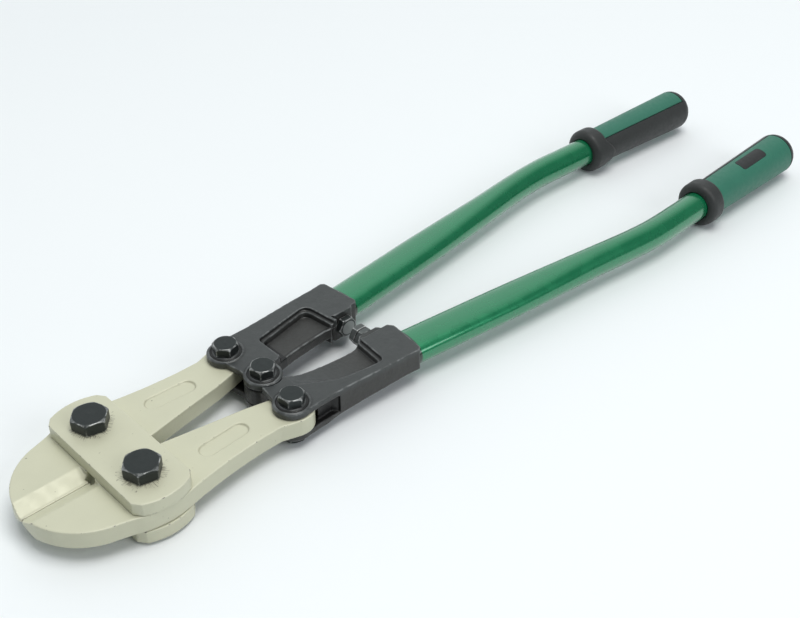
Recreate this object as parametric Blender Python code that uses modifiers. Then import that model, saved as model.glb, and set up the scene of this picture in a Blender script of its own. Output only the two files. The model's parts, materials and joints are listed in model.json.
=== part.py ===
"""Bolt cutters of the 24 inch class, closed and lying flat, as separate pieces.

Metres, +Z up. The nose points along -X and the handles along +X, left and right mirror in Y,
and the origin is on the surface the tool lies on, under the middle of its box.
Every piece is first drawn with the nose at x = 0, and the last step moves all of them.
"""

import math

import bmesh
import bpy
from mathutils import Matrix, Vector

NAME = "bolt_cutters"
CUTTERS = "bolt_cutters_cutters"

# Whole tool
LENGTH = 0.610
MID_Z = 0.016  # the plane in which the blades, levers and handles lie
GAP = 0.0003  # between pieces that touch
LEFT, RIGHT = 1, -1  # sign of Y
SIDES = {"left": LEFT, "right": RIGHT}

# Blades and head plates
NOSE_RADIUS = 0.041
BLADE_HALF = 0.0055  # half the blade's thickness
CUT_LENGTH = 0.0400
GROOVE_HALF_WIDTH = 0.0098
EDGE_LAND = 0.0003  # half the flat that is left on a cutting edge
THROAT_RADIUS = 0.0037
PLATE_THICKNESS = 0.0082
PLATE_FRONT, PLATE_REAR = 0.0417, 0.0780
PLATE_HALF_WIDTH = 0.0480
PLATE_SHOULDER = 0.0425  # half width at the plate's corners
PLATE_CORNER = 0.0025
ARM_EYE_RADIUS = 0.0125

# Pivots
JAW_X, JAW_Y = 0.0590, 0.0250
EYE_X, EYE_Y = 0.1530, 0.0307
CENTRE_X = 0.1565
OPEN_PIVOT_CLEARANCE = 0.0024  # round the right jaw bolt, in the right blade only
JOINT_AXES = {
    "right_handle": (CENTRE_X, 0),
    "left_blade": (EYE_X, EYE_Y),
    "right_blade": (EYE_X, -EYE_Y),
    "head_plates": (JAW_X, JAW_Y),
}

# Levers
LEVER_HALF = 0.0098
EAR_RADIUS = 0.0115
EAR_RING = 0.0007  # the raised ring round each bolt
SLOT_HALF = BLADE_HALF + GAP
WEB_TOP, WEB_BOTTOM = 0.0043, -0.0022
POCKET_REAR = 0.2180
REAR_WALL_SLANT = 0.0017  # how far the pocket's rear wall leans to each side of POCKET_REAR
POCKET_OUTER = [(0.2163, 0.0330), (0.2143, 0.0348), (0.1735, 0.0275)]  # from the rear wall to the front
RAMP_OUTER = [(0.2160, 0.0357), (0.2140, 0.0377), (0.2020, 0.0364), (0.1855, 0.0337), (0.1640, 0.0205)]
RAMP_STEP = 0.0002  # what is left of the ramp's depth at its front end
LOWER_EDGE = [  # x, y and bevel along a lever's lower outer edge
    (0.1680, 0.0413, 0.0003), (0.1790, 0.0414, 0.0022), (0.1950, 0.0425, 0.0036),
    (0.2120, 0.0437, 0.0045), (0.2280, 0.0444, 0.0050), (0.2460, 0.0462, 0.0052),
]
SLOT_REAR = 0.1790
KNUCKLE_CLEARANCE = 0.0007
WINDOW_START = {LEFT: 380, RIGHT: 408}  # where the window's edge leaves the centre eye, in degrees
WINDOW_EDGE = {
    LEFT: [(0.1700, 0.0048), (0.1790, 0.0070), (0.1900, 0.0087), (0.2100, 0.0104), (0.2165, 0.0100)],
    RIGHT: [(0.1662, 0.0113), (0.1720, 0.0138), (0.1860, 0.0153), (0.2090, 0.0152), (0.2160, 0.0132)],
}
SHOULDER_X, SHOULDER_Y = 0.2410, 0.0306  # middle of the shoulder's end face
SHOULDER_HALF_WIDTH = 0.0150
CUP_DEPTH = 0.0040
TANG_LENGTH = 0.0550

# Handles
HANDLE_SLOPE = 0.110
BEND_START, BEND_END = 0.380, 0.462
HANDLE_Y = 0.0530  # at the end of the bend
TOE_IN = math.radians(2.2)  # of the straight end that the grip is on
TUBE_WALL = 0.0018
TUBE_RADIUS = 0.0100
OVAL_HALF_WIDTH, OVAL_HALF_HEIGHT = 0.0129, 0.0078
OVAL_END, ROUND_START = 0.300, 0.430
TUBE_END = 0.603
TUBE_SIDES = 20

# Grips
COLLAR_FRONT = 0.4985
COLLAR_RADIUS = 0.0160
GRIP_START, GRIP_END = 0.5135, 0.6020
GRIP_RADIUS, GRIP_END_RADIUS = 0.0130, 0.0149
END_ROUND = 0.0080
# Distances on a grip are along the handle, so this end makes the whole tool LENGTH long.
GRIP_REACH = LENGTH - BEND_END - (GRIP_END_RADIUS - END_ROUND) * math.sin(TOE_IN)
GRIP_TIP = BEND_END + GRIP_REACH / math.cos(TOE_IN)
SHELL_THICKNESS = 0.0014
STRIP_HALF_ANGLE = math.radians(50)  # half of the black palm strip
GRIP_ROLL = {LEFT: 0, RIGHT: math.radians(11)}  # how far the strip is turned up from facing inwards
BADGE_X, BADGE_HALF_LENGTH, BADGE_HALF_WIDTH = 0.5620, 0.0145, 0.0046
BADGE_THICKNESS = 0.0008
BADGE_TURN = {LEFT: math.radians(-90), RIGHT: math.radians(90)}  # from the middle of the strip
GRIP_SIDES = 32

# Fasteners: across flats, head height, shank diameter
JAW_BOLT = (0.0190, 0.0075, 0.0120)
LEVER_BOLT = (0.0140, 0.0056, 0.0100)
STOP_SCREW = (0.0120, 0.0048, 0.0080)
LEVER_NUT_HEIGHT = 0.0044
STOP_NUT_HEIGHT = 0.0045
STOP_X = 0.2290
STOP_BOSS_RADIUS = 0.0080
STOP_BOSS_END = {LEFT: 0.0139, RIGHT: 0.0082}
LOW_BOSS_REACH, LOW_BOSS_HALF = 0.0140, 0.0066  # the right boss stands out from the block, and is lower
STOP_SHANK = 0.0150
ROUND_SIDES = 32

PAINT_CHAMPAGNE = ("champagne_paint", (0.58, 0.56, 0.44), 0.42, 0.25)
PAINT_CHARCOAL = ("charcoal_coat", (0.055, 0.055, 0.058), 0.48, 0.4)
BLACK_OXIDE = ("black_oxide", (0.035, 0.040, 0.042), 0.36, 0.8)
GREEN_PAINT = ("green_paint", (0.012, 0.19, 0.085), 0.22, 0.0)
GREEN_RUBBER = ("green_rubber", (0.020, 0.16, 0.095), 0.55, 0.0)
BLACK_RUBBER = ("black_rubber", (0.028, 0.030, 0.030), 0.6, 0.0)


# ---------------------------------------------------------------- scene and materials
def empty_scene():
    for old in list(bpy.data.objects):
        bpy.data.objects.remove(old, do_unlink=True)
    collections = []
    for name in (NAME, CUTTERS):
        collection = bpy.data.collections.get(name) or bpy.data.collections.new(name)
        if name not in bpy.context.scene.collection.children:
            bpy.context.scene.collection.children.link(collection)
        collections.append(collection)
    return collections


def material(spec):
    name, colour, roughness, metallic = spec
    found = bpy.data.materials.get(name)
    if found:
        return found
    made = bpy.data.materials.new(name)
    made.use_nodes = True
    shader = made.node_tree.nodes["Principled BSDF"]
    shader.inputs["Base Color"].default_value = (*colour, 1.0)
    shader.inputs["Roughness"].default_value = roughness
    shader.inputs["Metallic"].default_value = metallic
    made.diffuse_color = (*colour, 1.0)
    return made


def mesh_object(name, mesh):
    return bpy.data.objects.new(name, mesh)


def finish(obj, spec):
    """Puts a piece in the tool's collection, with its material and smooth round faces."""
    PIECES.objects.link(obj)
    obj.data.materials.clear()
    obj.data.materials.append(material(spec))
    obj.data.shade_smooth()
    obj.data.set_sharp_from_angle(angle=math.radians(30))
    return obj


def shape(obj, other, operation):
    """A Boolean of one object with another, which is kept as a cutter."""
    HELPERS.objects.link(other)
    other.hide_render = True
    other.display_type = "WIRE"
    step = obj.modifiers.new(other.name, "BOOLEAN")
    step.operation = operation
    step.solver = "EXACT"
    step.object = other
    return obj


def cut(obj, *others):
    for other in others:
        shape(obj, other, "DIFFERENCE")
    return obj


def join(obj, *others):
    for other in others:
        shape(obj, other, "UNION")
    return obj


# ---------------------------------------------------------------- outlines
def arc(x, y, radius, start, end, steps=12):
    """Points round a centre, from one angle to another in degrees, both ends included."""
    angles = [math.radians(start + (end - start) * i / steps) for i in range(steps + 1)]
    return [(x + radius * math.cos(a), y + radius * math.sin(a)) for a in angles]


def smooth(points, steps=3):
    """A Catmull-Rom curve through the points, which keeps both ends."""
    knots = [Vector(p) for p in points]
    knots = [knots[0] * 2 - knots[1], *knots, knots[-1] * 2 - knots[-2]]
    out = []
    for a, b, c, d in zip(knots, knots[1:], knots[2:], knots[3:]):
        for i in range(steps):
            t = i / steps
            p = 2 * b + (c - a) * t + (2 * a - 5 * b + 4 * c - d) * t**2 + (3 * b - a - 3 * c + d) * t**3
            out.append(tuple(p / 2))
    out.append(tuple(knots[-2]))
    return out


def flip(outline, side):
    return [(x, y * side) for x, y in outline]


def blend(start, end, low, high, x):
    """Goes smoothly from start to end as x goes from low to high."""
    t = min(max((x - low) / (high - low), 0), 1)
    return start + (end - start) * t * t * (3 - 2 * t)


# ---------------------------------------------------------------- solids
def prism(name, outline, low, high):
    """A flat outline, extruded between two heights from the middle plane."""
    curve = bpy.data.curves.new(name, "CURVE")
    curve.dimensions = "2D"
    curve.fill_mode = "BOTH"
    curve.extrude = (high - low) / 2
    spline = curve.splines.new("POLY")
    spline.points.add(len(outline) - 1)
    for point, (x, y) in zip(spline.points, outline):
        point.co = (x, y, 0, 1)
    spline.use_cyclic_u = True
    drawn = bpy.data.objects.new(name, curve)
    PIECES.objects.link(drawn)
    evaluated = drawn.evaluated_get(bpy.context.evaluated_depsgraph_get())
    mesh = bpy.data.meshes.new_from_object(evaluated)
    mesh.transform(Matrix.Translation((0, 0, MID_Z + (low + high) / 2)))
    bpy.data.objects.remove(drawn)
    bpy.data.curves.remove(curve)
    work = bmesh.new()
    work.from_mesh(mesh)
    bmesh.ops.remove_doubles(work, verts=work.verts, dist=1e-6)
    bmesh.ops.recalc_face_normals(work, faces=work.faces)
    work.to_mesh(mesh)
    work.free()
    return mesh_object(name, mesh)


def cylinder(name, x, y, radius, low, high, sides=ROUND_SIDES, top_radius=None):
    """An upright cylinder, or a cone with top_radius, between two heights from the middle plane."""
    work = bmesh.new()
    bmesh.ops.create_cone(
        work, cap_ends=True, segments=sides, radius1=radius, radius2=top_radius or radius, depth=high - low
    )
    mesh = bpy.data.meshes.new(name)
    work.to_mesh(mesh)
    work.free()
    mesh.transform(Matrix.Translation((x, y, MID_Z + (low + high) / 2)))
    return mesh_object(name, mesh)


def loft(name, rings, closed=True):
    """Skins rings of equal length in order, and caps the two ends."""
    work = bmesh.new()
    rows = [[work.verts.new(p) for p in ring] for ring in rings]
    count = len(rows[0])
    for a, b in zip(rows, rows[1:]):
        for i in range(count):
            work.faces.new((a[i], a[(i + 1) % count], b[(i + 1) % count], b[i]))
    if closed:
        work.faces.new(rows[0])
        work.faces.new(rows[-1])
    bmesh.ops.recalc_face_normals(work, faces=work.faces)
    mesh = bpy.data.meshes.new(name)
    work.to_mesh(mesh)
    work.free()
    return mesh_object(name, mesh)


def turned(name, profile, y, sides=GRIP_SIDES):
    """A profile of (x, radius) points turned about the line along X at y, in the middle plane."""
    mesh = bpy.data.meshes.new(name)
    points = [(x, 0, r) for x, r in profile]
    mesh.from_pydata(points, [(i, i + 1) for i in range(len(points) - 1)], [])
    obj = mesh_object(name, mesh)
    obj.location = (0, y, MID_Z)
    screw = obj.modifiers.new("turn", "SCREW")
    screw.axis = "X"
    screw.steps = screw.render_steps = sides
    screw.use_merge_vertices = True
    screw.merge_threshold = 1e-6
    return obj


# ---------------------------------------------------------------- fasteners
def hexagon(x, y, across_flats, turn=0):
    return arc(x, y, across_flats / math.sqrt(3), turn, turn + 300, 5)


def chamfer_body(name, x, y, across_flats, low, high, both_ends):
    """The turned body that a hexagon is trimmed with, so its corners are chamfered at the top."""
    corner = across_flats / math.sqrt(3)
    flat, drop = across_flats * 0.475, across_flats * 0.055
    rings = [(high, flat), (high - drop, corner * 1.02)]
    rings += [(low + drop, corner * 1.02), (low, flat)] if both_ends else [(low, corner * 1.02)]
    points = [[(px, py, MID_Z + z) for px, py in arc(x, y, r, 0, 360 - 360 / 36, 35)] for z, r in rings]
    return loft(name, points)


def hex_bolt(name, x, y, sizes, seat, end, turn, spec=BLACK_OXIDE):
    """An upright hexagon bolt: its head stands on seat, and its shank ends at end."""
    across, height, diameter = sizes
    low, high = seat + GAP, seat + GAP + height
    bolt = prism(name, hexagon(x, y, across, turn), low, high)
    shape(bolt, chamfer_body(name + "_chamfer", x, y, across, low, high, False), "INTERSECT")
    overlap = height / 2
    join(bolt, cylinder(name + "_shank", x, y, diameter / 2, end, low + overlap))
    return finish(bolt, spec)


def hex_nut(name, x, y, across, bore, low, high, turn, spec=BLACK_OXIDE):
    nut = prism(name, hexagon(x, y, across, turn), low, high)
    shape(nut, chamfer_body(name + "_chamfer", x, y, across, low, high, True), "INTERSECT")
    cut(nut, cylinder(name + "_bore", x, y, bore / 2 + GAP, low - 0.001, high + 0.001))
    return finish(nut, spec)


def lie_along_y(obj, side):
    """Turns an upright fastener at (STOP_X, 0), so that its axis lies along Y and its head faces inwards."""
    pivot = Vector((STOP_X, 0, MID_Z))
    obj.data = obj.data.copy()
    turn = Matrix.Rotation(math.radians(90 * side), 4, "X")
    place = Matrix.Translation(pivot) @ turn @ Matrix.Translation(-pivot)
    for part in [obj, *[step.object for step in obj.modifiers if step.type == "BOOLEAN"]]:
        part.matrix_world = place @ part.matrix_world
    return obj


# ---------------------------------------------------------------- head
def blade_outline():
    """The left blade, from the nose along its outer side to the eye, and back along the inner side."""
    nose = arc(NOSE_RADIUS, 0, NOSE_RADIUS, 180, 102, 14)
    nose[0] = (nose[0][0], GAP / 2)
    flank = [
        (0.0400, 0.0424), (0.0480, 0.0454), (0.0600, 0.0470), (0.0710, 0.0458),
        (0.0820, 0.0436), (0.1000, 0.0409), (0.1200, 0.0392), (0.1380, 0.0390),
    ]
    eye = arc(EYE_X, EYE_Y, ARM_EYE_RADIUS, 105, -78, 14)
    inner = [(0.1330, 0.0129), (0.1070, 0.0086), (0.0860, 0.0048), (0.0780, 0.0037), (0.0500, 0.0030)]
    throat = [(0.0460, 0.0012), (CUT_LENGTH, GAP / 2)]
    return nose + smooth(flank) + eye + inner + throat


def groove_cutter(name, up):
    """The V that leaves a cutting edge at the middle plane, on the upper or the lower face."""
    reach = BLADE_HALF + 0.001
    slope = GROOVE_HALF_WIDTH / (BLADE_HALF - EDGE_LAND)
    half = slope * (reach - EDGE_LAND)
    section = [(0, EDGE_LAND * up), (half, reach * up), (-half, reach * up)]
    ends = (-0.005, CUT_LENGTH + 0.0015)
    return loft(name, [[(x, y, MID_Z + z) for y, z in section] for x in ends])


def blade(word, side):
    obj = prism("blade_" + word, flip(blade_outline(), side), -BLADE_HALF, BLADE_HALF)
    tall = BLADE_HALF + 0.001
    jaw_hole = JAW_BOLT[2] / 2 + GAP + (OPEN_PIVOT_CLEARANCE if side == RIGHT else 0)
    eye_hole = LEVER_BOLT[2] / 2 + GAP
    cut(
        obj,
        groove_cutter(f"blade_{word}_upper_groove", 1),
        groove_cutter(f"blade_{word}_lower_groove", -1),
        cylinder(f"blade_{word}_throat", CUT_LENGTH + 0.002, 0, THROAT_RADIUS, -tall, tall),
        cylinder(f"blade_{word}_jaw_hole", JAW_X, JAW_Y * side, jaw_hole, -tall, tall),
        cylinder(f"blade_{word}_eye_hole", EYE_X, EYE_Y * side, eye_hole, -tall, tall),
    )
    return finish(obj, PAINT_CHAMPAGNE)


def plate_outline():
    """A block with straight front and rear edges and bulging ends."""
    half_chord = (PLATE_REAR - PLATE_FRONT) / 2
    bulge = PLATE_HALF_WIDTH - PLATE_SHOULDER
    radius = (half_chord**2 + bulge**2) / (2 * bulge)
    middle_x, middle_y = PLATE_FRONT + half_chord, PLATE_HALF_WIDTH - radius
    reach = math.degrees(math.asin(half_chord / radius)) - 7
    left = arc(middle_x, middle_y, radius, 90 - reach, 90 + reach, 10)
    rear = (PLATE_REAR, PLATE_SHOULDER - PLATE_CORNER)
    front = (PLATE_FRONT, PLATE_SHOULDER - PLATE_CORNER)
    half = [rear, *left, front]
    return half + flip(half[::-1], RIGHT)


def head_plate(name, low):
    obj = prism(name, plate_outline(), low, low + PLATE_THICKNESS)
    for word, side in SIDES.items():
        hole = JAW_BOLT[2] / 2 + GAP
        ends = (low - 0.001, low + PLATE_THICKNESS + 0.001)
        cut(obj, cylinder(f"{name}_{word}_hole", JAW_X, JAW_Y * side, hole, *ends))
    return finish(obj, PAINT_CHAMPAGNE)


def head():
    plate_low = BLADE_HALF + GAP
    head_plate("top_plate", plate_low)
    head_plate("bottom_plate", -plate_low - PLATE_THICKNESS)
    for word, side in SIDES.items():
        blade(word, side)
        seat = plate_low + PLATE_THICKNESS
        hex_bolt("jaw_bolt_" + word, JAW_X, JAW_Y * side, JAW_BOLT, seat, -MID_Z, 47)


# ---------------------------------------------------------------- levers
def shoulder_point(along, across):
    """A point from the shoulder's end face, along the handle and across it, outwards."""
    direction = Vector((1, HANDLE_SLOPE)).normalized()
    outward = Vector((-direction.y, direction.x))
    return tuple(Vector((SHOULDER_X, SHOULDER_Y)) + direction * along + outward * across)


def lever_outline(side):
    """The left lever from above: both eyes, the window's edge, the stop's boss and the shoulder."""
    boss = STOP_BOSS_END[side]
    centre_eye = arc(CENTRE_X, 0, EAR_RADIUS, 137, WINDOW_START[side], 18)
    window = smooth(WINDOW_EDGE[side])
    stop = [(STOP_X - STOP_BOSS_RADIUS, boss + 0.0015), (STOP_X - STOP_BOSS_RADIUS + 0.0015, boss)]
    stop += [(STOP_X + STOP_BOSS_RADIUS - 0.0015, boss), (STOP_X + STOP_BOSS_RADIUS, boss + 0.0015)]
    corner = 0.0020
    end = [
        shoulder_point(-corner, -SHOULDER_HALF_WIDTH), shoulder_point(0, -SHOULDER_HALF_WIDTH + corner),
        shoulder_point(0, SHOULDER_HALF_WIDTH - corner), shoulder_point(-corner, SHOULDER_HALF_WIDTH),
    ]
    rail = smooth([(0.2280, 0.0444), (0.2120, 0.0437), (0.1950, 0.0425), (0.1780, 0.0414), (0.1650, 0.0413)])
    blade_eye = arc(EYE_X, EYE_Y, EAR_RADIUS, 72, 235, 14)
    neck = [(0.1483, 0.0105)]
    return centre_eye + window + stop + end + rail + blade_eye + neck


def ring(name, x, y, half):
    """The raised ring round a bolt, on both faces of a lever, as one cylinder through it."""
    return cylinder(name, x, y, EAR_RADIUS - 0.0010, -half, half)


def slot_outline():
    """The mouth that the blade's eye turns in, open to the front and to the outer side."""
    behind = arc(EYE_X, EYE_Y, ARM_EYE_RADIUS + 0.0015, -95, 30, 12)
    rear = [(SLOT_REAR - 0.0040, 0.0370), (SLOT_REAR, 0.0400), (SLOT_REAR, 0.0550), (0.1300, 0.0550)]
    return [(0.1300, 0.0120), (0.1450, 0.0150)] + behind + rear


def knuckle_slot_outline():
    """What the left lever leaves free for the right lever's knuckle."""
    round_knuckle = arc(CENTRE_X, 0, EAR_RADIUS + KNUCKLE_CLEARANCE, 45, -90, 12)
    return [(0.1300, 0.0300), (0.1640, 0.0300)] + round_knuckle + [(0.1300, -0.0150)]


def pocket_outline(outer):
    """A pocket seen from above. It runs out over the window, on the inner side."""
    return [(outer[-1][0], -0.010), (POCKET_REAR + 2 * REAR_WALL_SLANT, -0.010)] + outer


def pocket_cutter(name, side, up):
    """A pocket down to the web. The right lever's upper one is a ramp that runs out at the eye."""
    high = LEVER_HALF + 0.001
    low = WEB_TOP if up else -WEB_BOTTOM
    ramp = up and side == RIGHT
    outer = RAMP_OUTER if ramp else POCKET_OUTER
    obj = prism(name, flip(pocket_outline(outer), side), low, high)
    if ramp:
        front = outer[-1][0]
        slope = (LEVER_HALF - RAMP_STEP - low) / (POCKET_REAR - front)
        for vertex in obj.data.vertices:
            if vertex.co.z < MID_Z + high - 0.0001:
                vertex.co.z += slope * (POCKET_REAR - vertex.co.x)
    if not up:
        obj.data.transform(Matrix.Translation((0, 0, 2 * MID_Z)) @ Matrix.Scale(-1, 4, (0, 0, 1)))
        obj.data.flip_normals()
    return obj


def oval(along, half_width, half_height, power, side, sides=TUBE_SIDES):
    """A superellipse ring across the handle, at a distance from the shoulder's end face."""
    ring_points = []
    for i in range(sides):
        turn = 2 * math.pi * i / sides
        c, s = math.cos(turn), math.sin(turn)
        across = half_width * math.copysign(abs(c) ** (2 / power), c)
        x, y = shoulder_point(along, across)
        z = half_height * math.copysign(abs(s) ** (2 / power), s)
        ring_points.append((x, y * side, MID_Z + z))
    return ring_points


def lever_bolt_spots(side):
    spots = [(EYE_X, EYE_Y * side)]
    if side == LEFT:
        spots.append((CENTRE_X, 0))
    return spots


def lever(word, side):
    name = "lever_" + word
    obj = prism(name, flip(lever_outline(side), side), -LEVER_HALF, LEVER_HALF)
    for i, (x, y) in enumerate(lever_bolt_spots(side)):
        join(obj, ring(f"{name}_ring_{i}", x, y, LEVER_HALF + EAR_RING))
    cut(obj, prism(name + "_slot", flip(slot_outline(), side), -SLOT_HALF, SLOT_HALF))
    far = LEVER_HALF + 0.002
    if side == LEFT:
        cut(obj, prism(name + "_knuckle_slot", knuckle_slot_outline(), -SLOT_HALF, SLOT_HALF))
    else:
        clear = EAR_RADIUS + KNUCKLE_CLEARANCE
        cut(
            obj,
            cylinder(name + "_upper_clearance", CENTRE_X, 0, clear, BLADE_HALF, far),
            cylinder(name + "_lower_clearance", CENTRE_X, 0, clear, -far, -BLADE_HALF),
        )
    for which, up in (("upper", True), ("lower", False)):
        cut(obj, pocket_cutter(f"{name}_{which}_pocket", side, up))
    if side == RIGHT:
        cut(obj, boss_step(name + "_upper_boss_step", 1), boss_step(name + "_lower_boss_step", -1))
    for i, (x, y) in enumerate([(EYE_X, EYE_Y * side), (CENTRE_X, 0)]):
        cut(obj, cylinder(f"{name}_bolt_hole_{i}", x, y, LEVER_BOLT[2] / 2 + GAP, -far, far))
    cut(obj, lower_edge(name + "_lower_edge", side))
    cup = [oval(a, OVAL_HALF_WIDTH + GAP, OVAL_HALF_HEIGHT + GAP, 2.5, side) for a in (-CUP_DEPTH, 0.004)]
    cut(obj, loft(name + "_cup", cup))
    fit = TUBE_WALL + GAP
    tang_ends = (-CUP_DEPTH - 0.002, TANG_LENGTH)
    tang = [oval(a, OVAL_HALF_WIDTH - fit, OVAL_HALF_HEIGHT - fit, 2.5, side) for a in tang_ends]
    join(obj, loft(name + "_tang", tang))
    cut(obj, stop_hole(name + "_stop_hole", side))
    return finish(obj, PAINT_CHARCOAL)


def boss_step(name, up):
    """What is cut from above or below the right lever's boss, which is lower than the block."""
    reach = STOP_BOSS_RADIUS + 0.0030
    front, rear, far = STOP_X - reach, STOP_X + reach, -LOW_BOSS_REACH
    outline = [(front, far), (rear, far), (rear, 0), (front, 0)]
    ends = sorted((LOW_BOSS_HALF * up, (LEVER_HALF + 0.001) * up))
    return prism(name, outline, *ends)


def lower_edge(name, side):
    """What bevels a lever's lower outer edge, more and more towards the shoulder."""
    margin = 0.0020
    low = -LEVER_HALF - margin
    rings = []
    for x, y, bevel in LOWER_EDGE:
        corners = [(y - bevel - margin, low), (y + margin, low), (y + margin, low + bevel + 2 * margin)]
        rings.append([(x, across * side, MID_Z + z) for across, z in corners])
    return loft(name, rings)


def stop_hole(name, side):
    """The tapped hole for the stop screw, along Y."""
    boss = STOP_BOSS_END[side]
    depth = STOP_SHANK + 0.001
    hole = cylinder(name, STOP_X, 0, STOP_SCREW[2] / 2 + GAP, -boss - depth, 0.005 - boss)
    return lie_along_y(hole, side)


def stop_screw(word, side):
    """A hexagon screw in the lever's boss; the right one is set further out, on a locknut."""
    boss = STOP_BOSS_END[side]
    seat = -boss
    if side == RIGHT:
        low = -boss + GAP
        seat = low + STOP_NUT_HEIGHT
        lie_along_y(hex_nut("stop_nut_" + word, STOP_X, 0, STOP_SCREW[0], STOP_SCREW[2], low, seat, 0), side)
    screw = hex_bolt("stop_screw_" + word, STOP_X, 0, STOP_SCREW, seat, -boss - STOP_SHANK, 0)
    lie_along_y(screw, side)


def lever_fasteners():
    seat = LEVER_HALF + EAR_RING
    nut_high = -seat - GAP
    nut_low = nut_high - LEVER_NUT_HEIGHT
    end = nut_low - EAR_RING
    spots = {
        "fork_{}_left": (EYE_X, EYE_Y, 13),
        "fork_{}_right": (EYE_X, -EYE_Y, 37),
        "centre_{}": (CENTRE_X, 0, 44),
    }
    for pattern, (x, y, turn) in spots.items():
        hex_bolt(pattern.format("bolt"), x, y, LEVER_BOLT, seat, end, turn)
        hex_nut(pattern.format("nut"), x, y, LEVER_BOLT[0], LEVER_BOLT[2], nut_low, nut_high, turn)


# ---------------------------------------------------------------- handles
def handle_y(x):
    """Half the distance between the two handles' centre lines: straight, a bend, then slightly toed in."""
    if x <= BEND_START:
        return SHOULDER_Y + HANDLE_SLOPE * (x - SHOULDER_X)
    start = SHOULDER_Y + HANDLE_SLOPE * (BEND_START - SHOULDER_X)
    toe = math.tan(TOE_IN)
    if x >= BEND_END:
        return HANDLE_Y - toe * (x - BEND_END)
    span = BEND_END - BEND_START
    t = (x - BEND_START) / span
    hermite = (2 * t**3 - 3 * t**2 + 1) * start + (t**3 - 2 * t**2 + t) * HANDLE_SLOPE * span
    return hermite + (3 * t**2 - 2 * t**3) * HANDLE_Y - (t**3 - t**2) * toe * span


def tube(word, side):
    """The handle's tube, flattened over the lever's tang and round in the grip."""
    start = shoulder_point(GAP - CUP_DEPTH, 0)[0]
    end = BEND_END + (TUBE_END - BEND_END) * math.cos(TOE_IN)
    stations = [start, 0.262, 0.285, OVAL_END, 0.330, 0.355, BEND_START, 0.405]
    stations += [ROUND_START, 0.446, BEND_END, 0.530, end]
    rings = []
    for x in stations:
        step = 0.0005
        slope = (handle_y(x + step) - handle_y(x - step)) / (2 * step)
        direction = Vector((1, slope)).normalized()
        width = blend(OVAL_HALF_WIDTH, TUBE_RADIUS, OVAL_END, ROUND_START, x)
        height = blend(OVAL_HALF_HEIGHT, TUBE_RADIUS, OVAL_END, ROUND_START, x)
        power = blend(2.5, 2.0, OVAL_END, ROUND_START, x)
        points = []
        for i in range(TUBE_SIDES):
            turn = 2 * math.pi * i / TUBE_SIDES
            c, s = math.cos(turn), math.sin(turn)
            across = width * math.copysign(abs(c) ** (2 / power), c)
            z = height * math.copysign(abs(s) ** (2 / power), s)
            points.append((x - direction.y * across, (handle_y(x) + direction.x * across) * side, MID_Z + z))
        rings.append(points)
    obj = loft("handle_tube_" + word, rings, closed=False)
    wall = obj.modifiers.new("wall", "SOLIDIFY")
    wall.thickness = TUBE_WALL
    wall.offset = -1
    wall.use_even_offset = True
    return finish(obj, GREEN_PAINT)


# ---------------------------------------------------------------- grips
def grip_radius(x):
    return GRIP_RADIUS + (GRIP_END_RADIUS - GRIP_RADIUS) * (x - GRIP_START) / (GRIP_END - GRIP_START)


def collar_profile():
    """The collar's outside, from its front face to the neck behind it."""
    round_front, round_back = 0.0045, 0.0028
    front = arc(COLLAR_FRONT + round_front, COLLAR_RADIUS - round_front, round_front, 170, 90, 4)
    back = arc(GRIP_START - 0.0040, COLLAR_RADIUS - round_back, round_back, 90, 15, 3)
    return front + back + [(GRIP_START, GRIP_RADIUS)]


def core_profile():
    """The black grip: bore, collar, body and rounded end, turned as one."""
    bore = TUBE_RADIUS + GAP
    round_end = arc(GRIP_TIP - END_ROUND, GRIP_END_RADIUS - END_ROUND, END_ROUND, 90, 0, 5)
    inside = [(TUBE_END + GAP, 0), (TUBE_END + GAP, bore), (COLLAR_FRONT, bore)]
    return inside + collar_profile() + round_end + [(GRIP_TIP, 0)]


def shell_profile(inner, outer, start, end):
    """A closed ring section that follows the grip's outside, between two depths below it."""
    ends = (start, end)
    top = [(x, grip_radius(x) + outer) for x in ends]
    bottom = [(x, grip_radius(x) - inner) for x in reversed(ends)]
    return top + bottom + top[:1]


def sector(name, side, angle, low=GRIP_START - 0.02, high=GRIP_TIP + 0.02):
    """A wedge about the grip's axis, on its palm side, that is left black."""
    roll = GRIP_ROLL[side]
    rim = [(roll - angle, 0.040), (roll, 0.064), (roll + angle, 0.040)]
    lip = [(0, 0)] + [(math.cos(turn) * reach, math.sin(turn) * reach) for turn, reach in rim]
    section = [(HANDLE_Y * side - across * side, MID_Z + up) for across, up in lip]
    return loft(name, [[(x, y, z) for y, z in section] for x in (low, high)])


def badge_block(name, side, grow):
    """A long slab that stands radially on the grip, at the badge's angle, with clipped corners."""
    half_length, half_width = BADGE_HALF_LENGTH + grow, BADGE_HALF_WIDTH + grow
    clip = half_width * 0.45
    outline = [
        (half_length - clip, -half_width), (half_length, clip - half_width), (half_length, half_width - clip),
        (half_length - clip, half_width), (clip - half_length, half_width), (-half_length, half_width - clip),
        (-half_length, clip - half_width), (clip - half_length, -half_width),
    ]
    obj = loft(name, [[(BADGE_X + x, y, z) for x, y in outline] for z in (0.008, 0.025)])
    # The two grips are the same moulding, one turned over: the right badge faces up and the left one down.
    turn = -side * (GRIP_ROLL[side] + BADGE_TURN[side] - math.pi / 2)
    place = Matrix.Translation((0, HANDLE_Y * side, MID_Z)) @ Matrix.Rotation(turn, 4, "X")
    obj.data.transform(place)
    return obj


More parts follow.
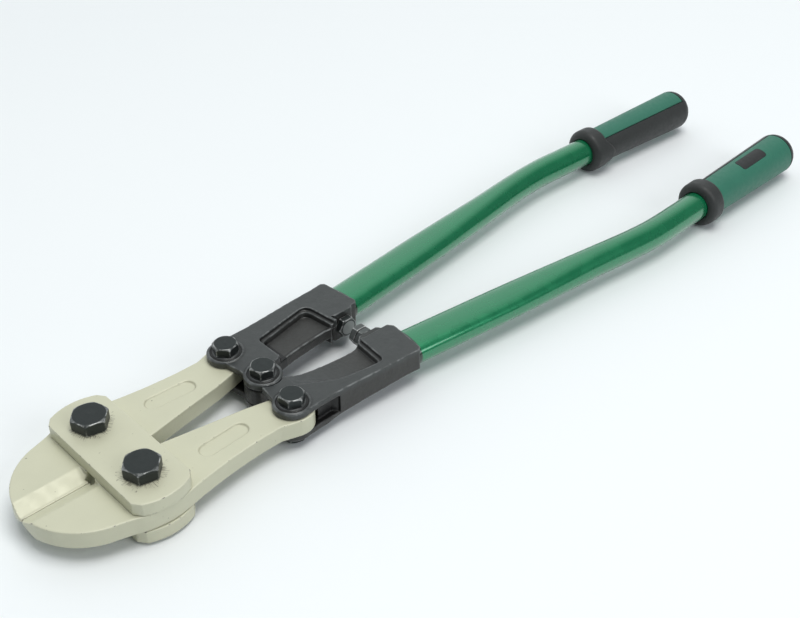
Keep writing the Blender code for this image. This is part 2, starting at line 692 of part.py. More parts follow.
def toe_in(word, side):
    """Turns one grip, and what cuts it, onto the handle's straight end."""
    pivot = Vector((BEND_END, HANDLE_Y * side, MID_Z))
    place = Matrix.Translation(pivot) @ Matrix.Rotation(-side * TOE_IN, 4, "Z") @ Matrix.Translation(-pivot)
    for part in [*PIECES.objects, *HELPERS.objects]:
        if part.name.startswith("grip_") and f"_{word}" in part.name:
            part.matrix_world = place @ part.matrix_basis


def grip(word, side):
    y = HANDLE_Y * side
    core = turned("grip_core_" + word, core_profile(), y)
    sunk = shell_profile(SHELL_THICKNESS + GAP, 0.004, GRIP_START, GRIP_END)
    recess = turned(f"grip_core_{word}_recess", sunk, y)
    shape(recess, sector(f"grip_core_{word}_strip", side, STRIP_HALF_ANGLE), "DIFFERENCE")
    cut(core, recess)
    finish(core, BLACK_RUBBER)

    ends = (GRIP_START + GAP, GRIP_END - GAP)
    shell = turned("grip_shell_" + word, shell_profile(SHELL_THICKNESS, 0, *ends), y)
    margin = GAP / GRIP_RADIUS * 1.5
    shape(shell, sector(f"grip_shell_{word}_strip", side, STRIP_HALF_ANGLE + margin), "DIFFERENCE")
    pocket = turned(f"grip_shell_{word}_pocket", shell_profile(BADGE_THICKNESS + GAP, 0.004, *ends), y)
    shape(pocket, badge_block(f"grip_shell_{word}_pocket_block", side, GAP), "INTERSECT")
    cut(shell, pocket)
    finish(shell, GREEN_RUBBER)

    badge = turned("grip_badge_" + word, shell_profile(BADGE_THICKNESS, -0.0001, *ends), y)
    shape(badge, badge_block(f"grip_badge_{word}_block", side, 0), "INTERSECT")
    finish(badge, BLACK_RUBBER)
    toe_in(word, side)


# ---------------------------------------------------------------- the whole tool
def centre_on_origin():
    """Moves every piece so that the origin is under the middle of the tool's box."""
    for obj in [*PIECES.objects, *HELPERS.objects]:
        obj.matrix_world = Matrix.Translation((-LENGTH / 2, 0, 0)) @ obj.matrix_world


def body_of(name):
    """The moving body that a piece or its cutter belongs to."""
    if name.startswith(("top_plate", "bottom_plate", "jaw_bolt")):
        return "head_plates"
    if name.startswith("blade_"):
        return name.split("_")[1] + "_blade"
    return "right_handle" if "_right" in name else "left_handle"


def hang_on_axes():
    """Gives each moving body an empty on its joint's axis, as the parent of its pieces and their cutters."""
    for body, (x, y) in JOINT_AXES.items():
        place = Vector((x - LENGTH / 2, y, MID_Z))
        axis = bpy.data.objects.new(body + "_axis", None)
        axis.location = place
        axis.empty_display_size = 0.02
        HELPERS.objects.link(axis)
        for obj in [*PIECES.objects, *HELPERS.objects]:
            if obj.type == "MESH" and body_of(obj.name) == body:
                world = obj.matrix_basis.copy()
                obj.parent = axis
                obj.matrix_parent_inverse = Matrix.Translation(-place)
                obj.matrix_basis = world


def main():
    head()
    for word, side in SIDES.items():
        lever(word, side)
        stop_screw(word, side)
        tube(word, side)
        grip(word, side)
    lever_fasteners()
    centre_on_origin()
    hang_on_axes()


PIECES, HELPERS = empty_scene()
main()
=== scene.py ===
"""Looks of the bolt cutters: finer meshes and worn finishes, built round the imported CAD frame.

Lengths are in metres. Shapes are drawn with the nose at x = 0, as in the CAD source, and moved into the
row frame as their mesh is made. Forged pieces start from their CAD node's own solid.
"""

import json
import math

import bmesh
import bpy
import numpy as np
from mathutils import Matrix, Vector


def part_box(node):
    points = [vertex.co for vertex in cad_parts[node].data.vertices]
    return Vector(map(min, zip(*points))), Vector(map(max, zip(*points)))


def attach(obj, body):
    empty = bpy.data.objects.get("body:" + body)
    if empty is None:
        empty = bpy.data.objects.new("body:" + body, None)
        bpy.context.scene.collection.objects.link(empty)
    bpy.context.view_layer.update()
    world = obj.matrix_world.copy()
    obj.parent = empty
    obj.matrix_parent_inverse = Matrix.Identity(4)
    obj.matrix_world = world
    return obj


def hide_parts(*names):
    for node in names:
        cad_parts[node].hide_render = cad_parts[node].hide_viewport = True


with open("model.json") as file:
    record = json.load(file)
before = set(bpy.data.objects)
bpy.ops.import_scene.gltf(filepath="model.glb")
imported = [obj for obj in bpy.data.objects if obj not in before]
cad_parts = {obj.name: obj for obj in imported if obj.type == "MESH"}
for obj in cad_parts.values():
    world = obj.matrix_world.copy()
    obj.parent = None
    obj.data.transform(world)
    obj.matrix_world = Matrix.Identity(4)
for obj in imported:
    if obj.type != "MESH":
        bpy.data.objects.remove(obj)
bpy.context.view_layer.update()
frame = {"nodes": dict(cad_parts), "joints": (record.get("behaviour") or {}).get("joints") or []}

LEFT, RIGHT = 1, -1  # sign of Y
SIDES = {"left": LEFT, "right": RIGHT}
GAP = 0.0003
HALF_LENGTH = -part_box("blade_left")[0].x
LENGTH = 2 * HALF_LENGTH


def pivot(joint):
    """A joint's place, with x counted from the nose."""
    place = next(j["pos_m"] for j in frame["joints"] if j["name"] == joint)
    return Vector((place[0] + HALF_LENGTH, place[1], place[2]))


CENTRE = pivot("handles_open")
EYE = pivot("left_blade_pivot")
JAW = pivot("left_jaw_pivot")
MID_Z = CENTRE.z

# Blades and plates
BLADE_HALF = 0.0055
CUT_LENGTH = 0.040
EDGE_BACKING = 0.0011  # half height of the land behind a cutting edge, before it is rounded
RECESS_FRONT, RECESS_REAR = 0.0985, 0.1205  # centres of the recess's round ends
RECESS_Y, RECESS_RADIUS, RECESS_DEPTH = 0.0260, 0.0052, 0.0012
RECESS_LEAN = 0.0012  # how much nearer the middle its rear end is
PLATE_TOP = BLADE_HALF + GAP + 0.0082

# Levers
LEVER_HALF = 0.0098
EAR_TOP = LEVER_HALF + 0.0007
SLOT_HALF, SLOT_REAR = 0.0059, 0.1790
GROOVE_RADII = (0.0079, 0.0095)  # the dark groove in the ring round each bolt
GROOVE_DEPTH = 0.0010
WEB_TOP = 0.0043
POCKET_REAR = 0.2177
REAR_WALL_SLANT = 0.0017
RAMP_FRONT, RAMP_STEP = 0.1640, 0.0002
POCKET_OUTER = {  # corners from the rear wall to the front, each with its radius
    LEFT: [(0.2160, 0.0345, 0.0065), (0.1738, 0.0270, 0.0030)],
    RIGHT: [
        (0.2160, 0.0376, 0.0035), (0.2020, 0.0363, 0.0040),
        (0.1855, 0.0336, 0.0060), (RAMP_FRONT, 0.0205, 0.0010),
    ],
}
LEDGE_DEPTH, LEDGE_WIDTH, WALL_SLOPE = 0.0022, 0.0013, 0.0012
RIM_WIDTH, RIM_HEIGHT = 0.0014, 0.0006
WINDOW_EDGE = {
    LEFT: [(0.1700, 0.0048), (0.1790, 0.0070), (0.1900, 0.0087), (0.2100, 0.0104), (0.2165, 0.0100)],
    RIGHT: [(0.1662, 0.0113), (0.1720, 0.0138), (0.1860, 0.0153), (0.2090, 0.0152), (0.2160, 0.0132)],
}

# Handles, as in the CAD source
SHOULDER = (0.2410, 0.0306)
SEAM_FADE = (0.0014, 0.0026)  # between these distances from the shoulder the dark band painted on the tube ends
CUP_DEPTH = 0.0040
HANDLE_SLOPE = 0.110
BEND_START, BEND_END = 0.380, 0.462
HANDLE_Y = 0.0530
TOE_IN = math.radians(2.2)
TUBE_WALL, TUBE_RADIUS = 0.0018, 0.0100
OVAL_HALF_WIDTH, OVAL_HALF_HEIGHT = 0.0129, 0.0078
OVAL_END, ROUND_START = 0.300, 0.430
TUBE_END = 0.603

# Grips
COLLAR_FRONT, COLLAR_RADIUS = 0.4985, 0.0160
GRIP_START, GRIP_END = 0.5135, 0.6020
GRIP_RADIUS, GRIP_END_RADIUS = 0.0130, 0.0149
END_ROUND = 0.0080
GRIP_REACH = LENGTH - BEND_END - (GRIP_END_RADIUS - END_ROUND) * math.sin(TOE_IN)
GRIP_TIP = BEND_END + GRIP_REACH / math.cos(TOE_IN)
SHELL_THICKNESS = 0.0014
STRIP_HALF_ANGLE = math.radians(50)
LOBE_REACH = 0.0070  # how much further back the collar swells in the middle of the black strip
GRIP_ROLL = {LEFT: 0, RIGHT: math.radians(11)}
BADGE_X, BADGE_HALF_LENGTH, BADGE_HALF_WIDTH = 0.5620, 0.0145, 0.0046
BADGE_THICKNESS = 0.0008
BADGE_TURN = {LEFT: math.radians(-90), RIGHT: math.radians(90)}

# Fasteners: across flats, head height, shank diameter, thread pitch, width of the flat top, chamfer slope
JAW_BOLT = (0.0190, 0.0075, 0.0120, 0.00175, 0.955, 0.58)
LEVER_BOLT = (0.0140, 0.0056, 0.0100, 0.0015, 0.93, 0.75)
STOP_SCREW = (0.0120, 0.0048, 0.0080, 0.00125, 0.90, 0.60)
LEVER_NUT_HEIGHT, STOP_NUT_HEIGHT = 0.0044, 0.0045
STOP_X = 0.2290
STOP_BOSS_END = {LEFT: 0.0139, RIGHT: 0.0082}
STOP_SHANK = 0.0150
STRUCK_AND_LIT_REACH, STRUCK_AND_LIT_RADIUS = 0.0092, 0.0050  # the part of a stop screw's head that is rubbed bright and also painted bright as a highlight
THREAD_LENGTH = 0.008
WEAR_AND_HIGHLIGHT_BAND = 0.0005  # how far the bright wear and painted highlight on a bolt head's edges reach down its flanks

VOXEL = 0.00045  # grain of the remeshed forgings
SKIN_KEPT = 0.5  # share of the remeshed faces that are kept
PAST = 0.0010  # how far a cutter stands past the face it cuts
SOFT = 0.00025  # rounding of a fastener's edges
CORNER_REACH = 0.5695  # a hexagon's slightly rounded corner, for a width of 1 across flats
ROUND_SIDES = 96
HEX_SIDES = 120
SHARP_ANGLE = math.radians(38)


# ---------------------------------------------------------------- finishes
class Finish:
    """A material's nodes. A constant goes straight into the shader's own socket."""

    def __init__(self, name, **constants):
        self.material = bpy.data.materials.new(name)
        self.material.use_nodes = True
        self.nodes = self.material.node_tree.nodes
        self.links = self.material.node_tree.links
        self.shader = self.nodes["Principled BSDF"]
        for socket, value in constants.items():
            self.shader.inputs[socket.replace("_", " ")].default_value = value
        self.place = self.nodes.new("ShaderNodeTexCoord").outputs["Object"]

    def feed(self, socket, value):
        if isinstance(value, bpy.types.NodeSocket):
            self.links.new(value, socket)
        else:
            socket.default_value = value

    def drive(self, **values):
        for socket, value in values.items():
            self.feed(self.shader.inputs[socket.replace("_", " ")], value)

    def spot(self):
        """The surface point's x, y and z in the row frame."""
        split = self.nodes.new("ShaderNodeSeparateXYZ")
        self.links.new(self.place, split.inputs["Vector"])
        return [split.outputs[axis] for axis in "XYZ"]

    def noise(self, size, detail=3, rough=0.5, place=None):
        """Noise whose spots are about this many metres across."""
        node = self.nodes.new("ShaderNodeTexNoise")
        node.inputs["Scale"].default_value = 1 / size
        node.inputs["Detail"].default_value = detail
        node.inputs["Roughness"].default_value = rough
        self.links.new(place or self.place, node.inputs["Vector"])
        return node.outputs["Fac"]

    def fade(self, value, low, high, start=0.0, end=1.0):
        """Goes from start to end as the value goes from low to high."""
        node = self.nodes.new("ShaderNodeMapRange")
        node.interpolation_type = "SMOOTHSTEP"
        for socket, number in zip(node.inputs, (value, low, high, start, end)):
            self.feed(socket, number)
        return node.outputs["Result"]

    def sum(self, operation, a, b=0.0):
        node = self.nodes.new("ShaderNodeMath")
        node.operation = operation
        self.feed(node.inputs[0], a)
        self.feed(node.inputs[1], b)
        return node.outputs["Value"]

    def distance(self, a, b):
        return self.sum("SQRT", self.sum("ADD", self.sum("MULTIPLY", a, a), self.sum("MULTIPLY", b, b)))

    def mix(self, share, a, b):
        node = self.nodes.new("ShaderNodeMix")
        node.data_type = "RGBA"
        self.feed(node.inputs["Factor"], share)
        for name, colour in (("A", a), ("B", b)):
            socket = next(s for s in node.inputs if s.name == name and s.type == "RGBA")
            self.feed(socket, colour if isinstance(colour, bpy.types.NodeSocket) else (*colour, 1.0))
        return next(s for s in node.outputs if s.type == "RGBA")

    def mark(self, name):
        """A value stored on the mesh: how convex or how hollow it is there."""
        node = self.nodes.new("ShaderNodeAttribute")
        node.attribute_name = name
        return node.outputs["Fac"]

    def relief(self, height, distance):
        """A bump of this many metres, added on top of any bump made before."""
        node = self.nodes.new("ShaderNodeBump")
        node.inputs["Distance"].default_value = distance
        self.links.new(height, node.inputs["Height"])
        before = self.shader.inputs["Normal"]
        if before.is_linked:
            self.links.new(before.links[0].from_socket, node.inputs["Normal"])
        self.links.new(node.outputs["Normal"], before)


def champagne_paint(name, scuffed=False):
    """Satin paint on forged steel: cloudy, paler on its edges, chipped here and there."""
    f = Finish(name, Metallic=0.10, Coat_Weight=0.12, Coat_Roughness=0.35)
    colour = f.mix(f.noise(0.02), (0.590, 0.588, 0.440), (0.535, 0.533, 0.398))
    colour = f.mix(f.fade(f.mark("edge"), 0.15, 0.8, 0, 0.5), colour, (0.68, 0.66, 0.53))
    # painted shade: hollows and creases, such as where parts meet, are painted darker
    colour = f.mix(f.fade(f.mark("hollow"), 0.1, 0.8, 0, 0.6), colour, (0.25, 0.235, 0.16))
    specks = f.fade(f.noise(0.0022, 2), 0.735, 0.76)
    near_edge = f.fade(f.noise(0.012, 2), 0.45, 0.6)
    colour = f.mix(f.sum("MULTIPLY", specks, near_edge), colour, (0.10, 0.095, 0.07))
    chips = f.fade(f.noise(0.0035, 4), 0.60, 0.64)
    chips = f.sum("MULTIPLY", chips, f.fade(f.mark("edge"), 0.35, 0.7))
    colour = f.mix(chips, colour, (0.16, 0.15, 0.13))
    if scuffed:
        colour = f.mix(bolt_scuffs(f), colour, (0.13, 0.12, 0.09))
    f.drive(Base_Color=colour, Roughness=f.fade(f.noise(0.006, 4), 0.3, 0.7, 0.36, 0.5))
    f.relief(f.noise(0.0011, 3), 0.00004)
    f.relief(f.noise(0.009, 2), 0.00012)
    return f.material


def bolt_scuffs(f):
    """Fine dark radial marks on the plate, round the heads of the two jaw bolts."""
    x, y, _ = f.spot()
    along = f.sum("SUBTRACT", x, JAW.x - HALF_LENGTH)
    across = f.sum("SUBTRACT", f.sum("ABSOLUTE", y), JAW.y)
    radius = f.distance(along, across)
    turn = f.sum("ARCTAN2", across, along)
    polar = f.nodes.new("ShaderNodeCombineXYZ")
    f.feed(polar.inputs["X"], f.sum("MULTIPLY", turn, 22.0))
    f.feed(polar.inputs["Y"], f.sum("MULTIPLY", radius, 160.0))
    f.feed(polar.inputs["Z"], y)
    hairs = f.fade(f.noise(1.0, 2, place=polar.outputs["Vector"]), 0.52, 0.62)
    reach = f.fade(f.noise(0.005, 1), 0.35, 0.7, 0.0114, 0.0148)
    return f.sum("MULTIPLY", hairs, f.sum("MULTIPLY", f.sum("LESS_THAN", radius, reach), 0.72))


def charcoal_coat():
    """A satin coat on a rough forged skin: rubbed lighter on its edges, partly as a painted highlight, with
    painted shade in its hollows and in the blades' slots.
    """
    f = Finish("charcoal_coat", Metallic=0.25, Coat_Weight=0.1, Coat_Roughness=0.4)
    x, _, z = f.spot()
    sunk = f.mix(f.noise(0.006, 5), (0.040, 0.040, 0.037), (0.027, 0.027, 0.025))
    proud = f.mix(f.noise(0.006, 5), (0.056, 0.061, 0.060), (0.037, 0.041, 0.041))
    colour = f.mix(f.fade(z, MID_Z + WEB_TOP, MID_Z + LEVER_HALF), sunk, proud)
    # the lighter colour on convex edges is partly rubbed wear and partly a painted highlight
    patches = f.fade(f.noise(0.005, 4), 0.40, 0.62, 0.12, 1.0)
    rubbed = f.sum("MULTIPLY", f.fade(f.mark("edge"), 0.15, 0.8), patches)
    colour = f.mix(f.sum("MULTIPLY", rubbed, 0.75), colour, (0.20, 0.21, 0.21))
    # painted shade: hollows, such as the pocket's trench walls, are painted near black
    colour = f.mix(f.fade(f.mark("hollow"), 0.04, 0.45, 0, 0.92), colour, (0.009, 0.009, 0.008))
    # painted shade: the faces inside the blades' slots, where little light reaches, are painted near black
    off_middle = f.sum("ABSOLUTE", f.sum("SUBTRACT", z, MID_Z))
    between_faces = f.fade(off_middle, SLOT_HALF, SLOT_HALF + 0.0005, 1, 0)
    rear = SLOT_REAR - HALF_LENGTH
    slot_shade = f.sum("MULTIPLY", between_faces, f.fade(x, rear, rear + 0.0006, 0.97, 0))
    colour = f.mix(slot_shade, colour, (0.006, 0.006, 0.006))
    f.drive(Base_Color=colour, Roughness=f.fade(f.noise(0.002, 4), 0.3, 0.7, 0.30, 0.46))
    f.relief(f.noise(0.0008, 4, 0.6), 0.00010)
    f.relief(f.noise(0.005, 3), 0.00025)
    return f.material


def black_oxide(name, colour, darker, struck_and_lit=False):
    """Blackened steel, worn to bright metal on its corners, and where the stop screws meet; both bright
    marks also stand in for painted highlights.
    """
    f = Finish(name, Metallic=0.55, Specular_IOR_Level=0.35)
    colour = f.mix(f.noise(0.004, 3), colour, darker)
    # the bright colour on convex edges is partly wear and partly a painted highlight
    patches = f.fade(f.noise(0.0035, 4), 0.42, 0.58, 0.12, 1.0)
    worn = f.sum("MULTIPLY", f.fade(f.mark("edge"), 0.15, 0.5), patches)
    colour = f.mix(worn, colour, (0.58, 0.59, 0.58))
    if struck_and_lit:
        # contact wear and painted highlight: the left stop screw's end face is painted bright
        x, y, z = f.spot()
        near = f.sum("LESS_THAN", f.sum("ABSOLUTE", y), STRUCK_AND_LIT_REACH)
        along = f.sum("SUBTRACT", x, STOP_X - HALF_LENGTH)
        radius = f.distance(along, f.sum("SUBTRACT", z, MID_Z))
        disc = f.fade(radius, STRUCK_AND_LIT_RADIUS - 0.0006, STRUCK_AND_LIT_RADIUS, 0.85, 0)
        colour = f.mix(f.sum("MULTIPLY", near, disc), colour, (0.34, 0.355, 0.35))
    f.drive(Base_Color=colour, Roughness=f.fade(f.noise(0.002, 3), 0.3, 0.7, 0.34, 0.46))
    f.relief(f.noise(0.0006, 3), 0.00003)
    return f.material


def green_enamel():
    """Gloss enamel with the slight waves of a dipped coat, and a dark band on the tube at the lever's
    shoulder.
    """
    f = Finish("green_paint", Metallic=0.48, Coat_Weight=1.0, Coat_Roughness=0.07, Coat_IOR=1.55)
    colour = f.mix(f.noise(0.03, 2), (0.006, 0.225, 0.090), (0.005, 0.200, 0.079))
    colour = f.mix(f.fade(f.noise(0.0012, 1), 0.79, 0.82, 0, 0.7), colour, (0.02, 0.05, 0.03))
    x, y, _ = f.spot()
    outward = f.sum("SUBTRACT", f.sum("ABSOLUTE", y), SHOULDER[1])
    along = f.sum("SUBTRACT", x, SHOULDER[0] - HALF_LENGTH)
    along = f.sum("ADD", along, f.sum("MULTIPLY", outward, HANDLE_SLOPE))
    colour = f.mix(f.fade(along, *SEAM_FADE, 0.95, 0), colour, (0.010, 0.009, 0.008))
    f.drive(Base_Color=colour, Roughness=f.fade(f.noise(0.01, 3), 0.3, 0.7, 0.22, 0.32))
    f.relief(f.noise(0.012, 2), 0.00010)
    return f.material


def rubber(name, colour, darker, paler):
    """Moulded rubber with a fine matt grain, rubbed a little paler on its edges."""
    f = Finish(name, Sheen_Weight=0.08, Sheen_Roughness=0.5, Specular_IOR_Level=0.4)
    shade = f.mix(f.noise(0.012, 4), colour, darker)
    shade = f.mix(f.fade(f.mark("edge"), 0.2, 0.9, 0, 0.5), shade, paler)
    dust = f.fade(f.noise(0.0016, 2), 0.70, 0.74, 0, 0.3)
    shade = f.mix(dust, shade, paler)
    f.drive(Base_Color=shade, Roughness=f.fade(f.noise(0.003, 3), 0.3, 0.7, 0.46, 0.6))
    f.relief(f.noise(0.0005, 2), 0.00004)
    return f.material


def finishes():
    oxide = (0.036, 0.042, 0.041), (0.026, 0.031, 0.031)
    rubbed = (0.150, 0.160, 0.156), (0.070, 0.078, 0.077)
    green = (0.028, 0.165, 0.108), (0.022, 0.140, 0.092), (0.06, 0.23, 0.16)
    black = (0.028, 0.031, 0.030), (0.022, 0.024, 0.024), (0.06, 0.065, 0.064)
    badge = (0.018, 0.020, 0.020), (0.013, 0.015, 0.015), (0.04, 0.044, 0.043)
    return {
        "champagne_paint": champagne_paint("champagne_paint"),
        "scuffed_paint": champagne_paint("scuffed_paint", scuffed=True),
        "charcoal_coat": charcoal_coat(),
        "black_oxide": black_oxide("black_oxide", *oxide),
        "struck_oxide": black_oxide("struck_oxide", *oxide, struck_and_lit=True),
        "rubbed_oxide": black_oxide("rubbed_oxide", *rubbed),
        "green_paint": green_enamel(),
        "green_rubber": rubber("green_rubber", *green),
        "black_rubber": rubber("black_rubber", *black),
        "badge_rubber": rubber("badge_rubber", *badge),
    }


# ---------------------------------------------------------------- meshes
def linked(name, mesh):
    obj = bpy.data.objects.new(name, mesh)
    bpy.context.scene.collection.objects.link(obj)
    return obj


def face_out(mesh):
    work = bmesh.new()
    work.from_mesh(mesh)
    bmesh.ops.remove_doubles(work, verts=work.verts, dist=1e-6)
    bmesh.ops.recalc_face_normals(work, faces=work.faces)
    work.to_mesh(mesh)
    work.free()
    return mesh


def solid(name, points, faces):
    """A closed body from points drawn with the nose at x = 0, moved into the row frame."""
    mesh = bpy.data.meshes.new(name)
    mesh.from_pydata(points, [], faces)
    mesh.transform(Matrix.Translation((-HALF_LENGTH, 0, 0)))
    return linked(name, face_out(mesh))


def skin(name, rings, loop=False):
    """Skins rings of equal length. The ends are capped, or joined when the rings make a loop."""
    rows, count = len(rings), len(rings[0])
    points = [tuple(p) for ring in rings for p in ring]
    faces = []
    for a in range(rows if loop else rows - 1):
        b = (a + 1) % rows
        for i in range(count):
            j = (i + 1) % count
            faces.append((a * count + i, a * count + j, b * count + j, b * count + i))
    if not loop:
        faces += [tuple(range(count)), tuple(range((rows - 1) * count, rows * count))]
    return solid(name, points, faces)


def prism(name, outline, low, high, top=None):
    """An outline extruded between two heights from the middle plane.

    low may be a function of x. top is the upper outline, if that differs.
    """
    floor = low if callable(low) else lambda x: low
    return skin(name, [
        [(x, y, MID_Z + floor(x)) for x, y in outline],
        [(x, y, MID_Z + high) for x, y in (top or outline)],
    ])


def circle(x, y, radius, sides=ROUND_SIDES):
    turns = [2 * math.pi * i / sides for i in range(sides)]
    return [(x + radius * math.cos(t), y + radius * math.sin(t)) for t in turns]


def rounded(corners, steps=6):
    """A polygon whose corners, given as (x, y, radius), are rounded."""
    out = []
    count = len(corners)
    for i, (x, y, radius) in enumerate(corners):
        here = Vector((x, y))
        before = (Vector(corners[i - 1][:2]) - here).normalized() * radius + here
        after = (Vector(corners[(i + 1) % count][:2]) - here).normalized() * radius + here
        for k in range(steps + 1):
            t = k / steps
            out.append(tuple(before * (1 - t) ** 2 + here * 2 * t * (1 - t) + after * t * t))
    return out


def smooth(points, steps=4):
    """A Catmull-Rom curve through the points, which keeps both ends."""
    knots = [Vector(p) for p in points]
    knots = [knots[0] * 2 - knots[1], *knots, knots[-1] * 2 - knots[-2]]
    out = []
    for a, b, c, d in zip(knots, knots[1:], knots[2:], knots[3:]):
        for i in range(steps):
            t = i / steps
            bend = (2 * a - 5 * b + 4 * c - d) * t**2 + (3 * b - a - 3 * c + d) * t**3
            out.append(tuple((2 * b + (c - a) * t + bend) / 2))
    out.append(tuple(knots[-2]))
    return out


def flip(outline, side):
    return [(x, y * side) for x, y in outline]


def washer(name, x, y, radii, low, high):
    """A ring cutter between two radii and two heights."""
    inner, outer = radii
    corners = [(inner, low), (outer, low), (outer, high), (inner, high)]
    return skin(name, [[(px, py, MID_Z + z) for px, py in circle(x, y, r)] for r, z in corners], loop=True)


def cad_copy(node):
    """A free copy of a CAD node's solid, to be shaped further."""
    mesh = frame["nodes"][node].data.copy()
    mesh.materials.clear()
    return linked(node + "_shape", face_out(mesh))


def boolean(obj, others, operation):
    for other in others:
        step = obj.modifiers.new(other.name, "BOOLEAN")
        step.operation = operation
        step.solver = "EXACT"
        step.object = other
    return obj


def bake(obj, *helpers):
    """Applies an object's modifiers, and removes the objects they used."""
    bpy.context.view_layer.update()
    evaluated = obj.evaluated_get(bpy.context.evaluated_depsgraph_get())
    mesh = bpy.data.meshes.new_from_object(evaluated)
    for other in helpers:
        bpy.data.objects.remove(other)
    obj.modifiers.clear()
    obj.data = mesh
    return obj


def forge(node, added=(), cut=(), last=(), rounds=5):
    """A CAD solid with details added, cut and added last, in fine even faces with softened edges."""
    obj = cad_copy(node)
    boolean(obj, added, "UNION")
    boolean(obj, cut, "DIFFERENCE")
    boolean(obj, last, "UNION")
    remesh = obj.modifiers.new("even", "REMESH")
    remesh.mode = "VOXEL"
    remesh.voxel_size = VOXEL
    soften = obj.modifiers.new("soften", "SMOOTH")
    soften.factor = 0.5
    soften.iterations = rounds
    thin = obj.modifiers.new("thin", "DECIMATE")
    thin.ratio = SKIN_KEPT
    return bake(obj, *added, *cut, *last)


def read_rows(items, field, width, kind=float):
    """A field of a mesh's items, as an array with this many columns."""
    values = np.empty(len(items) * width, kind)
    items.foreach_get(field, values)
    return values.reshape(-1, width)


def bend_marks(mesh, reach, spread):
    """Stores how convex ("edge") and how hollow ("hollow") each vertex is, from 0 to 1.

    A bend of reach, in 1/m, counts as 1. The values are spread to the neighbours this many times.
    """
    count = len(mesh.vertices)
    places = read_rows(mesh.vertices, "co", 3)
    normals = read_rows(mesh.vertex_normals, "vector", 3)
    a, b = read_rows(mesh.edges, "vertices", 2, np.int64).T
    step = places[b] - places[a]
    squared = np.maximum((step**2).sum(1), 1e-12)
    shares = np.bincount(a, minlength=count) + np.bincount(b, minlength=count)
    shares = np.maximum(shares, 1)
    bend = np.bincount(a, -(normals[a] * step).sum(1) / squared, count)
    bend += np.bincount(b, (normals[b] * step).sum(1) / squared, count)
    bend /= shares
    for name, values in (("edge", bend), ("hollow", -bend)):
        values = np.maximum(values, 0) / reach
        for _ in range(spread):
            near = np.bincount(a, values[b], count) + np.bincount(b, values[a], count)
            values = (values + near / shares) / 2
        stored = mesh.attributes.new(name, "FLOAT", "POINT")
        stored.data.foreach_set("value", np.clip(values, 0, 1).astype(np.float32))


def show(obj, name, body, slot, finish=None, nodes=None, flat=False, reach=600.0, spread=2):
    """Names a finished piece, gives it its finish, and sets it on its body in place of its CAD node."""
    obj.name = name
    obj.data.name = name
    obj.data.materials.clear()
    obj.data.materials.append(FINISHES[finish or slot])
    obj.data.shade_smooth()
    if flat:
        obj.data.set_sharp_from_angle(angle=SHARP_ANGLE)
    bend_marks(obj.data, reach, spread)
    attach(obj, body)
    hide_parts(*(nodes or [name.replace("look_", "")]))
    return obj


# ---------------------------------------------------------------- head
def recess(name, side, high):
    """The long round-ended panel that is sunk in a blade's arm, on its upper or its lower face."""
    outline = []
    for x, y, start in ((RECESS_FRONT, RECESS_Y, 90), (RECESS_REAR, RECESS_Y - RECESS_LEAN, -90)):
        for turn in np.radians(np.linspace(start, start + 180, 13)):
            outline.append((x + RECESS_RADIUS * math.cos(turn), y + RECESS_RADIUS * math.sin(turn)))
    ends = BLADE_HALF - RECESS_DEPTH, BLADE_HALF + PAST
    low, top = ends if high else (-ends[1], -ends[0])
    return prism(name, flip(outline, side), low, top)


def blade(word, side):
    front, outside = 0.0008, 0.0022
    backing = [(front, GAP / 2), (CUT_LENGTH, GAP / 2), (CUT_LENGTH, outside), (front, outside)]
    backing = prism("backing", flip(backing, side), -EDGE_BACKING, EDGE_BACKING)
    cuts = [recess("upper_recess", side, True), recess("lower_recess", side, False)]
    obj = forge("blade_" + word, [backing], cuts, rounds=3)
    show(obj, "look_blade_" + word, word + "_blade", "champagne_paint")


def head():
    for word, side in SIDES.items():
        blade(word, side)
        hex_bolt("jaw_bolt_" + word, "head_plates", JAW.x, JAW.y * side, JAW_BOLT, PLATE_TOP, -MID_Z, 47)
    for word, finish in (("top", "scuffed_paint"), ("bottom", "champagne_paint")):
        plate = forge(word + "_plate", rounds=3)
        show(plate, f"look_{word}_plate", "head_plates", "champagne_paint", finish=finish)


# ---------------------------------------------------------------- fasteners
def hex_radius(turn, across):
    """How far a hexagon's side is from its centre, for an angle from one of its corners."""
    angle = (turn % (math.pi / 3)) - math.pi / 6
    return min(across / 2 / math.cos(angle), across * CORNER_REACH)


def hex_ring(across, turn, z, limit=None, slope=0.0, top=0.0):
    """A ring round a hexagon, kept inside a radius. A slope lowers its corners below a flat top."""
    ring = []
    for i in range(HEX_SIDES):
        angle = 2 * math.pi * i / HEX_SIDES
        radius = hex_radius(angle - turn, across)
        radius = min(radius, limit) if limit else radius
        height = z - max(radius - top, 0) * slope
        ring.append((radius * math.cos(angle), radius * math.sin(angle), height))
    return ring


def round_ring(radius, z):
    return hex_ring(10 * radius, 0, z, limit=radius)


def hex_head_rings(sizes, turn, low, high):
    """From the seat up to the middle of the top: washer face, flanks, chamfer and flat top."""
    across, _, _, _, flat, slope = sizes
    top = across / 2 * flat
    chamfer = {"slope": slope, "top": top}
    dished = high - 0.00006
    return [
        round_ring(top * 0.97, low),
        hex_ring(across - SOFT, turn, low + SOFT),
        hex_ring(across, turn, low + 2 * SOFT),
        hex_ring(across, turn, low + 2 * SOFT + WEAR_AND_HIGHLIGHT_BAND),
        hex_ring(across, turn, high - SOFT - WEAR_AND_HIGHLIGHT_BAND, **chamfer),
        hex_ring(across, turn, high - SOFT, **chamfer),
        hex_ring(across - SOFT, turn, high, **chamfer),
        round_ring(top, high - SOFT * 0.15),
        round_ring(top - SOFT, high),
        round_ring(top * 0.55, dished),
        round_ring(0.0009, dished),
        round_ring(0.0004, high),
    ]


